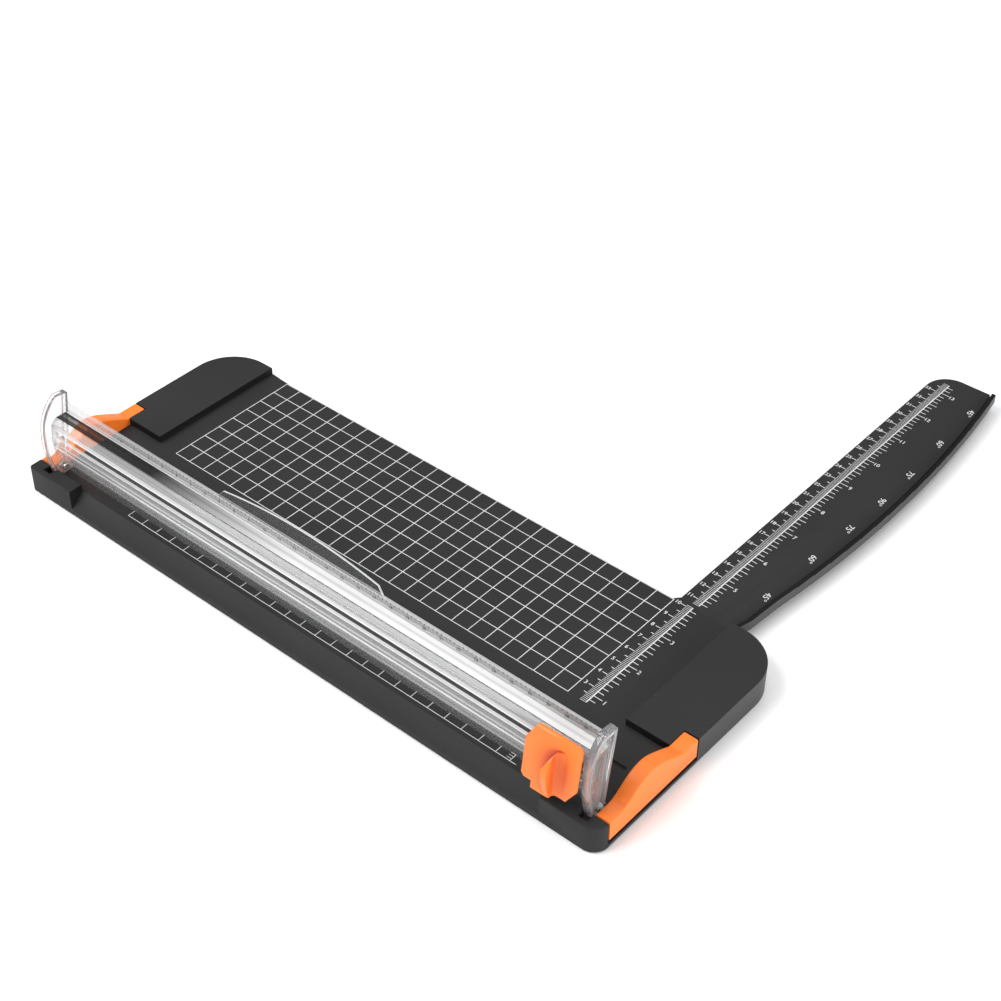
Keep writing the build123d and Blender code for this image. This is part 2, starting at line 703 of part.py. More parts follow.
def arm_plan():
    heel_top = (-arm_inner, math.sqrt(arm_heel_radius ** 2 - arm_inner ** 2))
    turn = math.radians(arm_heel_turn)
    heel_low = (-arm_heel_radius * math.cos(turn), -arm_heel_radius * math.sin(turn))
    toe = (arm_toe_x, -arm_toe_y)
    rim = [arm_rim(),
           Line((arm_tip_width, arm_reach), (-arm_inner, arm_reach)),
           Line((-arm_inner, arm_reach), heel_top),
           ThreePointArc(heel_top, (-arm_heel_radius, 0), heel_low),
           Line(heel_low, toe),
           Line(toe, (arm_neck_width, arm_neck_reach)),
           Line((arm_neck_width, arm_neck_reach), (arm_root_width, arm_root_reach))]
    plan = make_face(rim)
    tip_corner = plan.vertices().sort_by(lambda corner: corner.Y - corner.X)[-1]
    return fillet(tip_corner, arm_tip_radius)


# A strip that follows the arm's rim, between two distances in from it
def rim_strip(plan, outer, inner):
    strip = Pos(-outer, 0) * plan - Pos(-inner, 0) * plan
    length = arm_reach - bead_start
    return strip & (Pos(arm_belly, bead_start + length / 2) * Rectangle(2 * arm_belly, length))


def make_ruler_arm():
    plan = arm_plan()
    arm = Pos(0, 0, arm_bottom) * extrude(plan, amount=arm_thickness)
    inner = offset(plan, amount=-arm_wall)
    arm -= Pos(0, 0, arm_bottom - overrun) * extrude(inner, amount=arm_thickness - arm_skin + overrun)
    bead = extrude(rim_strip(plan, 0, bead_width), amount=arm_skin + bead_height)
    bead = Pos(0, 0, arm_top - arm_skin) * bead
    bead = fillet(bead.faces().sort_by(Axis.Z)[-1].edges(), bead_round)
    arm += bead
    groove = rim_strip(plan, bead_width, bead_width + bead_groove)
    arm -= Pos(0, 0, arm_top - bead_groove_depth) * extrude(groove, amount=end_height)
    arm -= post(pivot_boss_radius + running_clearance, 0, 0, 0, end_height)
    return Pos(pivot_x, pivot_y, 0) * arm


def make_friction_washer():
    low = arm_top - arm_skin - friction_washer_thickness
    ring = post(washer_radius, pivot_x, pivot_y, low, arm_top - arm_skin)
    return ring - post(pivot_boss_radius + running_clearance, pivot_x, pivot_y, 0, end_height)


def make_retaining_washer():
    high = arm_top - arm_skin - friction_washer_thickness
    ring = post(washer_radius, pivot_x, pivot_y, high - washer_thickness, high)
    return ring - post(pivot_screw_radius + running_clearance, pivot_x, pivot_y, 0, end_height)


def make_pivot_screw():
    seat = arm_top - arm_skin - friction_washer_thickness - washer_thickness
    foot = seat - pivot_head_height
    screw = post(pivot_head_radius, pivot_x, pivot_y, foot, seat)
    screw += post(pivot_screw_radius, pivot_x, pivot_y, seat, seat + pivot_screw_length - bed_plate)
    return screw - cross_recess(pivot_x, pivot_y, foot, pivot_head_radius, pivot_head_height)


save("base_shell", make_base_shell())
save("bottom_plate", make_bottom_plate())
save("base_screws", make_base_screws())
save("rubber_feet", make_rubber_feet())
save("cutting_strip", make_cutting_strip())
save("clear_rail", make_rail())
for side_name, side_sign in (("left", -1), ("right", 1)):
    save("rail_end_plate_" + side_name, make_end_plate(side_sign))
    save("hinge_pin_" + side_name, make_hinge_pin(side_sign))
    save("latch_" + side_name, make_latch(side_sign))
    save("latch_springs_" + side_name, make_latch_springs(side_sign))
    save("latch_clips_" + side_name, make_latch_clips(side_sign))
save("slider_carriage", make_carriage())
save("press_springs", make_press_springs())
save("slider_cap", make_slider_cap())
save("blade_holder", make_blade_holder())
save("blade", make_blade())
save("blade_rivet", make_blade_rivet())
save("ruler_arm", make_ruler_arm())
save("arm_friction_washer", make_friction_washer())
save("arm_retaining_washer", make_retaining_washer())
save("arm_pivot_screw", make_pivot_screw())
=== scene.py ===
import bpy
import math
from mathutils import Euler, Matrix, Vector


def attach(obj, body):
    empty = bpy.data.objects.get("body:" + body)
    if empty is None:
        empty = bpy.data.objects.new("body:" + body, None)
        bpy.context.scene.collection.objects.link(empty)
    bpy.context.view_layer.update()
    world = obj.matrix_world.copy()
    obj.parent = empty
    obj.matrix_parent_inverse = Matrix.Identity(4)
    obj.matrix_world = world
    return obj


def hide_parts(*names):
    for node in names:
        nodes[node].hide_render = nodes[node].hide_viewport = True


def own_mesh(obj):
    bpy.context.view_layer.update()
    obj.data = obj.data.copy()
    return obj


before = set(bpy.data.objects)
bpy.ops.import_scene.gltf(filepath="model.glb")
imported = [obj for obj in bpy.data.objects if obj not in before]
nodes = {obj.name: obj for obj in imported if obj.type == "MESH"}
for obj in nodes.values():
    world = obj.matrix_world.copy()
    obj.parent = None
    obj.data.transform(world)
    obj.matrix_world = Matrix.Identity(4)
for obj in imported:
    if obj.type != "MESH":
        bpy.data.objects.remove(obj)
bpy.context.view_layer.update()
print("frame loaded,", len(nodes), "nodes")

# places and sizes on the part are in mm; finishes, merge gap, fattening, floor, lights and camera in metres
mm = 0.001
cmLong = 10
inchLong = 25.4


def deselectAll():
    if bpy.context.object and bpy.context.object.mode != "OBJECT":
        bpy.ops.object.mode_set(mode="OBJECT")
    bpy.ops.object.select_all(action="DESELECT")


def pick(*objs):
    deselectAll()
    for obj in objs:
        obj.select_set(True)
    bpy.context.view_layer.objects.active = objs[0]


def settle(obj):
    pick(obj)
    bpy.ops.object.transform_apply(location=True, rotation=True, scale=True)
    return obj


def applyModifiers(obj):
    pick(obj)
    for mod in list(obj.modifiers):
        bpy.ops.object.modifier_apply(modifier=mod.name)


def joinAs(name, objs):
    pick(*objs)
    if len(objs) > 1:
        bpy.ops.object.join()
    joined = bpy.context.view_layer.objects.active
    joined.name = name
    joined.data.name = name
    return joined


def coat(obj, material):
    obj.data.materials.clear()
    obj.data.materials.append(material)


# finishes: each starts from noise on the piece's own coordinates

noiseLook = {"low": 0.3, "high": 0.7, "cloudDetail": 2.0, "fineDetail": 3.0, "streakScale": 1.0}


def newFinish(name):
    mat = bpy.data.materials.new(name)
    mat.use_nodes = True
    tree = mat.node_tree
    shader = tree.nodes["Principled BSDF"]
    coords = tree.nodes.new("ShaderNodeTexCoord")
    return mat, tree, shader, coords


def grain(tree, coords, scale, detail, stretch=(1, 1, 1)):
    place = tree.nodes.new("ShaderNodeMapping")
    place.inputs["Scale"].default_value = stretch
    noise = tree.nodes.new("ShaderNodeTexNoise")
    noise.inputs["Scale"].default_value = scale
    noise.inputs["Detail"].default_value = detail
    tree.links.new(coords.outputs["Object"], place.inputs["Vector"])
    tree.links.new(place.outputs["Vector"], noise.inputs["Vector"])
    return noise.outputs["Fac"]


def mapped(tree, value, fromLow, fromHigh, toLow=0.0, toHigh=1.0):
    span = tree.nodes.new("ShaderNodeMapRange")
    for end, number in (("From Min", fromLow), ("From Max", fromHigh), ("To Min", toLow), ("To Max", toHigh)):
        span.inputs[end].default_value = number
    tree.links.new(value, span.inputs["Value"])
    return span.outputs["Result"]


def spread(tree, noise, low, high):
    return mapped(tree, noise, noiseLook["low"], noiseLook["high"], low, high)


def twoTone(tree, noise, first, second):
    ramp = tree.nodes.new("ShaderNodeValToRGB")
    ends = ramp.color_ramp.elements
    ends[0].position = noiseLook["low"]
    ends[1].position = noiseLook["high"]
    ends[0].color = (*first, 1)
    ends[1].color = (*second, 1)
    tree.links.new(noise, ramp.inputs["Fac"])
    return ramp.outputs["Color"]


# mixes two tones, each a plain colour or the outlet of another node
def mixed(tree, share, first, second):
    mix = tree.nodes.new("ShaderNodeMix")
    mix.data_type = "RGBA"
    tree.links.new(share, mix.inputs["Factor"])
    for side, tone in (("A", first), ("B", second)):
        if isinstance(tone, tuple):
            mix.inputs[side].default_value = (*tone, 1)
        else:
            tree.links.new(tone, mix.inputs[side])
    return mix.outputs["Result"]


def bumpFrom(tree, noise, strength, depth):
    bump = tree.nodes.new("ShaderNodeBump")
    bump.inputs["Strength"].default_value = strength
    bump.inputs["Distance"].default_value = depth
    tree.links.new(noise, bump.inputs["Height"])
    return bump.outputs["Normal"]


def feed(tree, shader, sources):
    for socket, source in sources.items():
        tree.links.new(source, shader.inputs[socket])


def mouldedPlastic(name, look):
    mat, tree, shader, coords = newFinish(name)
    cloud = grain(tree, coords, look["cloudScale"], noiseLook["cloudDetail"])
    fine = grain(tree, coords, look["grainScale"], noiseLook["fineDetail"])
    tone = twoTone(tree, cloud, look["colourLow"], look["colourHigh"])
    if "deep" in look:  # painted shade: the colour darkens in the corners and hollows that the AO node finds
        corner = tree.nodes.new("ShaderNodeAmbientOcclusion")
        corner.inputs["Distance"].default_value = look["deepReach"]
        corner.only_local = True
        corner.samples = look["deepSamples"]
        share = mapped(tree, corner.outputs["AO"], look["deepFrom"], look["deepTo"])
        tone = mixed(tree, share, look["deep"], tone)
    feed(tree, shader, {"Base Color": tone,
                        "Roughness": spread(tree, fine, look["roughLow"], look["roughHigh"]),
                        "Normal": bumpFrom(tree, fine, look["bump"], look["bumpDepth"])})
    shader.inputs["Specular IOR Level"].default_value = look["gloss"]
    shader.inputs["Alpha"].default_value = look.get("alpha", 1.0)
    return mat


charcoalLook = {"colourLow": (0.0185, 0.0185, 0.0188), "colourHigh": (0.0225, 0.0225, 0.0228),
                "cloudScale": 14, "grainScale": 2600, "roughLow": 0.5, "roughHigh": 0.65, "bump": 0.25,
                "bumpDepth": 0.00004, "gloss": 0.18}
# near-black finish: painted shade on the steps up to the raised ends and on the arm's bead
paintedShadeLook = dict(charcoalLook, colourLow=(0.007, 0.007, 0.007), colourHigh=(0.01, 0.01, 0.01), gloss=0.08)
# outer walls: glossier, and painted lighter in colour as painted sheen
sheenWallLook = dict(charcoalLook, colourLow=(0.034, 0.034, 0.0345), colourHigh=(0.041, 0.041, 0.0415),
                roughLow=0.42, roughHigh=0.55, bump=0.15, bumpDepth=0.00003, gloss=0.3)
darkLook = {"colourLow": (0.016, 0.016, 0.017), "colourHigh": (0.024, 0.024, 0.025), "cloudScale": 30,
            "grainScale": 1800, "roughLow": 0.45, "roughHigh": 0.6, "bump": 0.15, "bumpDepth": 0.00003,
            "gloss": 0.4}
# orange; its deep colour is painted shade in corners and hollows
orangeLook = {"colourLow": (0.88, 0.18, 0.014), "colourHigh": (0.92, 0.195, 0.017), "cloudScale": 40,
              "grainScale": 1500, "roughLow": 0.34, "roughHigh": 0.46, "bump": 0.12, "bumpDepth": 0.00003,
              "gloss": 0.45, "deep": (0.45, 0.025, 0.002), "deepReach": 0.011, "deepFrom": 0.6, "deepTo": 0.93,
              "deepSamples": 8}
nylonLook = {"colourLow": (0.66, 0.65, 0.6), "colourHigh": (0.74, 0.73, 0.68), "cloudScale": 60,
             "grainScale": 2000, "roughLow": 0.4, "roughHigh": 0.55, "bump": 0.1, "bumpDepth": 0.00002,
             "gloss": 0.4}
rubberLook = {"colourLow": (0.012, 0.012, 0.012), "colourHigh": (0.02, 0.02, 0.02), "cloudScale": 80,
              "grainScale": 1600, "roughLow": 0.75, "roughHigh": 0.9, "bump": 0.4, "bumpDepth": 0.00005,
              "gloss": 0.3}
stripLook = {"colourLow": (0.006, 0.006, 0.006), "colourHigh": (0.01, 0.01, 0.01), "cloudScale": 60,
             "grainScale": 1500, "roughLow": 0.6, "roughHigh": 0.75, "bump": 0.2, "bumpDepth": 0.00003,
             "gloss": 0.3}
printLook = {"colourLow": (0.55, 0.55, 0.55), "colourHigh": (0.65, 0.65, 0.65), "cloudScale": 90,
             "grainScale": 2600, "roughLow": 0.5, "roughHigh": 0.65, "bump": 0.1, "bumpDepth": 0.00001,
             "gloss": 0.3}
inkLook = dict(printLook, colourLow=(0.02, 0.02, 0.021), colourHigh=(0.03, 0.03, 0.031))
# near-white glossy finish: a painted highlight on the cut edge of the lift tab
highlightRimLook = {"colourLow": (0.66, 0.67, 0.68), "colourHigh": (0.76, 0.77, 0.78), "cloudScale": 60,
           "grainScale": 1500, "roughLow": 0.06, "roughHigh": 0.14, "bump": 0.05, "bumpDepth": 0.00001,
           "gloss": 0.5, "alpha": 0.72}
guideLook = dict(highlightRimLook, alpha=0.04)
clearLook = {"colour": (0.86, 0.87, 0.88), "through": 0.88, "roughLow": 0.015, "roughHigh": 0.04, "ior": 1.46,
             "streak": (900, 40, 900)}
# how milky the drawn rail is, in bands across it: distance from the hinge line, and veil of one wall; the white
# bands are haze and painted reflection;
# the veil, and the painted reflection with it, falls to its least share towards the left end
railHazeAndReflectionLook = {"thin": (0.3, 0.305, 0.31), "thick": (0.8, 0.8, 0.8), "reach": 45.0,
            "roughLow": 0.03, "roughHigh": 0.09, "streak": (4, 1500, 1500),
            "bands": ((5.0, 0.08), (10.0, 0.14), (11.0, 0.45), (12.2, 0.45), (13.0, 0.3), (15.8, 0.32),
                      (16.0, 0.85), (17.2, 0.85), (17.4, 0.42), (20.6, 0.36), (22.7, 0.42), (22.9, 0.9),
                      (27.8, 0.9), (28.0, 0.65), (29.3, 0.62), (29.5, 0.25), (30.2, 0.25), (30.4, 0.5),
                      (31.1, 0.5), (31.3, 0.55), (32.3, 0.5), (32.38, 0.12), (32.64, 0.12), (32.7, 0.86),
                      (33.8, 0.88), (34.0, 0.6), (34.6, 0.3), (35.2, 0.4), (38.0, 0.42), (38.2, 0.6),
                      (38.75, 0.6), (38.9, 0.05)),
            "clearFrom": -130.0, "clearTo": -40.0, "clearLeast": 0.75}
# the riser keeps its veil as haze and painted bright reflection, and its tone darkens to near black towards the
# left end as painted dark reflection
riserHazeAndReflectionLook = dict(railHazeAndReflectionLook, thick=(0.68, 0.68, 0.68),
                 leftDarkReflectionThin=(0.002, 0.002, 0.002), leftDarkReflectionThick=(0.003, 0.003, 0.003),
                 bands=((20.0, 0.1), (32.0, 0.1), (32.3, 0.97), (32.95, 0.97), (32.96, 0.3), (33.04, 0.3),
                        (33.05, 0.97), (33.8, 0.97)),
                 clearFrom=-102.0, clearTo=-5.0, clearLeast=1.0)
steelLook = {"colourLow": (0.5, 0.5, 0.51), "colourHigh": (0.6, 0.6, 0.61), "roughLow": 0.22,
             "roughHigh": 0.36, "streak": (60, 1400, 1400)}


def clearPlastic(name, look):
    mat, tree, shader, coords = newFinish(name)
    streaks = grain(tree, coords, noiseLook["streakScale"], noiseLook["cloudDetail"], look["streak"])
    feed(tree, shader, {"Roughness": spread(tree, streaks, look["roughLow"], look["roughHigh"])})
    shader.inputs["Base Color"].default_value = (*look["colour"], 1)
    shader.inputs["IOR"].default_value = look["ior"]
    shader.inputs["Transmission Weight"].default_value = look["through"]
    return mat


railPose = {"hinge": (-56.0, 12.8), "turn": 82.0}  # y and z of the hinge line, and how far the rail is up


# drawn clear strip: bands that run along it, each with its own veil of haze and painted reflection, and fine
# draw lines
def drawnClear(name, look):
    mat, tree, shader, coords = newFinish(name)
    turn = math.radians(railPose["turn"])
    across = tree.nodes.new("ShaderNodeVectorMath")
    across.operation = "DOT_PRODUCT"
    across.inputs[1].default_value = (0, math.cos(turn), math.sin(turn))
    tree.links.new(coords.outputs["Object"], across.inputs[0])
    hingeAt = (railPose["hinge"][0] * math.cos(turn) + railPose["hinge"][1] * math.sin(turn)) * mm
    place = mapped(tree, across.outputs["Value"], hingeAt, hingeAt + look["reach"] * mm)
    ramp = tree.nodes.new("ShaderNodeValToRGB")
    stops = ramp.color_ramp.elements
    for index, (distance, veil) in enumerate(look["bands"]):
        spot = distance / look["reach"]
        stop = stops[index] if index < 2 else stops.new(spot)  # a new ramp has two stops already
        stop.position = spot
        stop.color = (veil, veil, veil, 1)
    tree.links.new(place, ramp.inputs["Fac"])
    bands = ramp.outputs["Color"]
    along = tree.nodes.new("ShaderNodeSeparateXYZ")
    tree.links.new(coords.outputs["Object"], along.inputs["Vector"])
    leftEnd = (look["clearFrom"] * mm, look["clearTo"] * mm)
    veilShare = tree.nodes.new("ShaderNodeMath")
    veilShare.operation = "MULTIPLY"
    tree.links.new(bands, veilShare.inputs[0])
    tree.links.new(mapped(tree, along.outputs["X"], *leftEnd, look["clearLeast"]), veilShare.inputs[1])
    tone = mixed(tree, bands, look["thin"], look["thick"])
    # painted dark reflection on the riser towards the left end
    if "leftDarkReflectionThin" in look:
        darkReflectionTone = mixed(tree, bands, look["leftDarkReflectionThin"], look["leftDarkReflectionThick"])
        tone = mixed(tree, mapped(tree, along.outputs["X"], *leftEnd), darkReflectionTone, tone)
    lines = grain(tree, coords, noiseLook["streakScale"], noiseLook["cloudDetail"], look["streak"])
    feed(tree, shader, {"Base Color": tone,
                        "Roughness": spread(tree, lines, look["roughLow"], look["roughHigh"]),
                        "Alpha": veilShare.outputs["Value"]})
    return mat


def brushedSteel(name, look):
    mat, tree, shader, coords = newFinish(name)
    streaks = grain(tree, coords, noiseLook["streakScale"], noiseLook["fineDetail"], look["streak"])
    feed(tree, shader, {"Base Color": twoTone(tree, streaks, look["colourLow"], look["colourHigh"]),
                        "Roughness": spread(tree, streaks, look["roughLow"], look["roughHigh"])})
    shader.inputs["Metallic"].default_value = 1.0
    return mat


charcoal = mouldedPlastic("charcoalMoulding", charcoalLook)
paintedShade = mouldedPlastic("paintedShadeMoulding", paintedShadeLook)
paintedSheenWall = mouldedPlastic("smoothPaintedSheenWall", sheenWallLook)
darkPlastic = mouldedPlastic("darkMoulding", darkLook)
orange = mouldedPlastic("orangeMoulding", orangeLook)
nylon = mouldedPlastic("paleNylon", nylonLook)
rubber = mouldedPlastic("footRubber", rubberLook)
stripBlack = mouldedPlastic("stripBlack", stripLook)
whitePrint = mouldedPlastic("whitePrint", printLook)
darkInk = mouldedPlastic("darkInk", inkLook)
paintedRimHighlight = mouldedPlastic("paintedHighlightRim", highlightRimLook)
guideClear = mouldedPlastic("guideClear", guideLook)
clear = clearPlastic("clearMoulding", clearLook)
# the rail's white bands are haze and painted reflection
drawn = drawnClear("drawnClear", railHazeAndReflectionLook)
riserPaintedReflection = drawnClear("riserPaintedReflection", riserHazeAndReflectionLook)
steel = brushedSteel("brushedSteel", steelLook)

finishOf = {"base_shell": charcoal, "bottom_plate": darkPlastic, "base_screws": steel, "rubber_feet": rubber,
            "cutting_strip": stripBlack, "clear_rail": drawn, "rail_end_plate_left": clear,
            "rail_end_plate_right": clear, "hinge_pin_left": steel, "hinge_pin_right": steel,
            "latch_left": orange, "latch_right": orange, "latch_springs_left": steel,
            "latch_springs_right": steel, "latch_clips_left": steel, "latch_clips_right": steel,
            "slider_carriage": darkPlastic, "press_springs": steel, "slider_cap": orange,
            "blade_holder": darkPlastic, "blade": steel, "blade_rivet": steel, "ruler_arm": charcoal,
            "arm_friction_washer": nylon, "arm_retaining_washer": steel, "arm_pivot_screw": steel}
for nodeName, finish in finishOf.items():
    for slotOfNode in nodes[nodeName].material_slots:
        slotOfNode.material = finish
print("finishes on", len(finishOf), "nodes")


# copies of the mouldings that show, with their edges softened: body, slot and width of the soft edge

softEdge = {"base_shell": ("base", "charcoal_plastic", 0.35),
            "ruler_arm": ("arm", "charcoal_plastic", 0.3),
            "latch_left": ("left_latch", "orange_plastic", 0.5),
            "latch_right": ("right_latch", "orange_plastic", 0.5),
            "slider_cap": ("cutter_head", "orange_plastic", 0.55),
            "clear_rail": ("rail", "clear_plastic", 0.2),
            "rail_end_plate_left": ("rail", "clear_plastic", 0.4),
            "rail_end_plate_right": ("rail", "clear_plastic", 0.4)}
edgeLook = {"mergeGap": 0.000002, "flatAngle": 0.6, "edgeAngle": 28, "smoothAngle": 35, "segments": 2}


def mergedCopy(nodeName, ending):
    copy = bpy.data.objects.new(nodeName + ending, nodes[nodeName].data.copy())
    bpy.context.scene.collection.objects.link(copy)
    pick(copy)
    bpy.ops.object.mode_set(mode="EDIT")
    bpy.ops.mesh.select_all(action="SELECT")
    bpy.ops.mesh.remove_doubles(threshold=edgeLook["mergeGap"])
    bpy.ops.object.mode_set(mode="OBJECT")
    return copy


def softCopy(nodeName, width):
    copy = mergedCopy(nodeName, "_moulded")
    bpy.ops.object.mode_set(mode="EDIT")
    bpy.ops.mesh.select_all(action="SELECT")
    bpy.ops.mesh.dissolve_limited(angle_limit=math.radians(edgeLook["flatAngle"]))
    bpy.ops.object.mode_set(mode="OBJECT")
    edge = copy.modifiers.new("edge", "BEVEL")
    edge.width = width * mm
    edge.segments = edgeLook["segments"]
    edge.limit_method = "ANGLE"
    edge.angle_limit = math.radians(edgeLook["edgeAngle"])
    edge.use_clamp_overlap = True
    edge.harden_normals = False
    applyModifiers(copy)
    bpy.ops.object.shade_smooth_by_angle(angle=math.radians(edgeLook["smoothAngle"]))
    return copy


softPieces = {}
for nodeName, (body, slotName, width) in softEdge.items():
    piece = softCopy(nodeName, width)
    coat(piece, finishOf[nodeName])
    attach(piece, body)
    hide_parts(nodeName)
    softPieces[nodeName] = piece
    print("soft edges on", nodeName, len(piece.data.polygons), "faces")


# gives the faces that pass a test of their middle and normal a finish of their own
def coatWhere(nodeName, material, test):
    piece = softPieces[nodeName]
    piece.data.materials.append(material)
    index = len(piece.data.materials) - 1
    for face in piece.data.polygons:
        if test(face.center / mm, face.normal):
            face.material_index = index


# turns a point or a direction into the closed rail's own frame
def inRail(vector, isPoint):
    start = Vector((0, *railPose["hinge"])) if isPoint else Vector((0, 0, 0))
    return (vector - start) @ Euler((math.radians(railPose["turn"]), 0, 0)).to_matrix()


bed = {"top": 11.3, "cutY": -31.0}
armTop = 9.0

# steps up to the raised ends, painted near-black as painted shade
stepFaces = {"rise": 0.05, "upright": 0.6, "square": 0.7, "rearFrom": -20.0, "frontTo": -50.0}


def isStep(spot, normal):
    if spot.z < bed["top"] + stepFaces["rise"] or abs(normal.z) > stepFaces["upright"]:
        return False
    square = stepFaces["square"]
    inward = normal.x * spot.x < 0 and abs(normal.x) > square
    forward = normal.y < -square and spot.y > stepFaces["rearFrom"]
    backward = normal.y > square and spot.y < stepFaces["frontTo"]
    return inward or forward or backward


# the bead along the arm, painted near-black as painted shade as well
beadFaces = {"rise": 0.1, "upward": 0.2}


def isBead(spot, normal):
    return spot.z > armTop + beadFaces["rise"] and normal.z > beadFaces["upward"]


# smooth outer walls of the base behind the latches, and of the arm: glossier, and painted lighter as painted
# sheen
wallFaces = {"sideways": 0.3, "upright": 0.5, "from": -20.0}


def isWall(spot, normal):
    outward = normal.x * spot.x > 0 and abs(normal.x) > wallFaces["sideways"]
    return outward and abs(normal.z) < wallFaces["upright"] and spot.y > wallFaces["from"]


# the cut edge of the lift tab, painted near-white as a painted highlight
tabFaces = {"foot": 39.0, "level": 0.8}


def isTabRim(spot, normal):
    return inRail(spot, True).y > tabFaces["foot"] and abs(inRail(normal, False).z) < tabFaces["level"]


# the riser, hazy with painted bright reflection on the right, and painted dark reflection towards the left end
riserFaces = {"from": 30.3, "to": 33.6, "square": 0.9}


def isRiser(spot, normal):
    onRiser = riserFaces["from"] < inRail(spot, True).y < riserFaces["to"]
    return onRiser and abs(inRail(normal, False).y) > riserFaces["square"]


# the two guide ribs inside the rail, too thin to look milky
guideFaces = {"mid": 25.0, "reach": 5.2, "half": 0.85, "low": 2.4, "high": 7.4}


def isGuide(spot, normal):
    place = inRail(spot, True)
    off = abs(abs(place.y - guideFaces["mid"]) - guideFaces["reach"])
    return off < guideFaces["half"] and guideFaces["low"] < place.z < guideFaces["high"]


# painted shade on the steps and on the arm's bead
coatWhere("base_shell", paintedShade, isStep)
coatWhere("ruler_arm", paintedShade, isBead)
# painted sheen on the outer walls
coatWhere("base_shell", paintedSheenWall, isWall)
coatWhere("ruler_arm", paintedSheenWall, isWall)
# painted highlight on the tab's cut edge
coatWhere("clear_rail", paintedRimHighlight, isTabRim)
# painted bright and dark reflection on the riser
coatWhere("clear_rail", riserPaintedReflection, isRiser)
coatWhere("clear_rail", guideClear, isGuide)
print("finishes of single faces set")


# springs: smooth copies of the coils, on the body that carries them

springLook = {"latch_springs_left": {"body": "base", "joint": "latch_left_pull", "travel": 3.0},
              "latch_springs_right": {"body": "base", "joint": "latch_right_pull", "travel": 3.0},
              "press_springs": {"body": "carriage", "joint": "cutter_press", "travel": 2.0}}
coilAngle = 40


def makeSpring(nodeName, look):
    coil = mergedCopy(nodeName, "_coil")
    bpy.ops.object.shade_smooth_by_angle(angle=math.radians(coilAngle))
    coat(coil, steel)
    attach(coil, look["body"])
    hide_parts(nodeName)
    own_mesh(coil)


for nodeName, look in springLook.items():
    makeSpring(nodeName, look)


# printed scales: thin bars and figures that lie on the plastic

ink = {"thick": 0.03, "sink": 0.01, "under": 0.006}
figureLook = {"sizeShare": 1.4, "curveSteps": 3, "fatten": 0.00003}


def inkBar(x, y, z, wide, long):
    middle = (x * mm, y * mm, (z + ink["thick"] / 2 - ink["sink"]) * mm)
    bpy.ops.mesh.primitive_cube_add(size=1, location=middle)
    bar = bpy.context.object
    bar.scale = (wide * mm, long * mm, ink["thick"] * mm)
    return settle(bar)


def inkRow(x, y, z, wide, long, step, count):
    bar = inkBar(x, y, z, wide, long)
    row = bar.modifiers.new("row", "ARRAY")
    row.count = count
    row.use_relative_offset = False
    row.use_constant_offset = True
    row.constant_offset_displace = (step[0] * mm, step[1] * mm, 0)
    applyModifiers(bar)
    return bar


def inkText(words, size, place, turn=0.0):
    deselectAll()
    bpy.ops.object.text_add()
    text = bpy.context.object
    text.data.body = words
    text.data.align_x = "CENTER"
    text.data.align_y = "CENTER"
    text.data.size = size * mm * figureLook["sizeShare"]
    text.data.extrude = ink["thick"] / 2 * mm
    text.data.resolution_u = figureLook["curveSteps"]
    text.data.offset = figureLook["fatten"]
    pick(text)
    bpy.ops.object.convert(target="MESH")
    text = bpy.context.object
    text.location = (place[0] * mm, place[1] * mm, (place[2] + ink["thick"] / 2 - ink["sink"]) * mm)
    text.rotation_euler = (0, 0, math.radians(turn))
    return settle(text)


gridLook = {"rightX": 120.3, "frontY": -11.0, "cell": 10.0, "columns": 26, "rows": 8, "line": 0.4}


def makeBedGrid(look):
    wide = look["columns"] * look["cell"]
    deep = look["rows"] * look["cell"]
    left = look["rightX"] - wide
    columns = inkRow(left, look["frontY"] + deep / 2, bed["top"], look["line"], deep + look["line"],
                     (look["cell"], 0), look["columns"] + 1)
    rows = inkRow(left + wide / 2, look["frontY"], bed["top"] - ink["under"], wide + look["line"], look["line"],
                  (0, look["cell"]), look["rows"] + 1)
    return joinAs("bed_grid_print", [columns, rows])


scaleLook = {"bandLeft": 127.2, "bandRight": 130.4, "boldX": 130.7, "boldWide": 0.6, "mmLine": 0.24,
             "halfLeft": 125.6, "cmLeft": 124.4, "cmNumberX": 122.75, "inchNumberX": 137.4, "tick": 0.38,
             "eighth": 3.2, "half": 4.3, "inch": 4.8, "cmNumber": 2.3, "inchNumber": 2.5, "inchNumberDrop": 0.6,
             "inchTicks": ("inch", "eighth", "eighth", "eighth", "half", "eighth", "eighth", "eighth"),
             "firstFigure": 3, "bedFrom": 20, "bedTo": 101, "armFrom": 106, "armTo": 339}


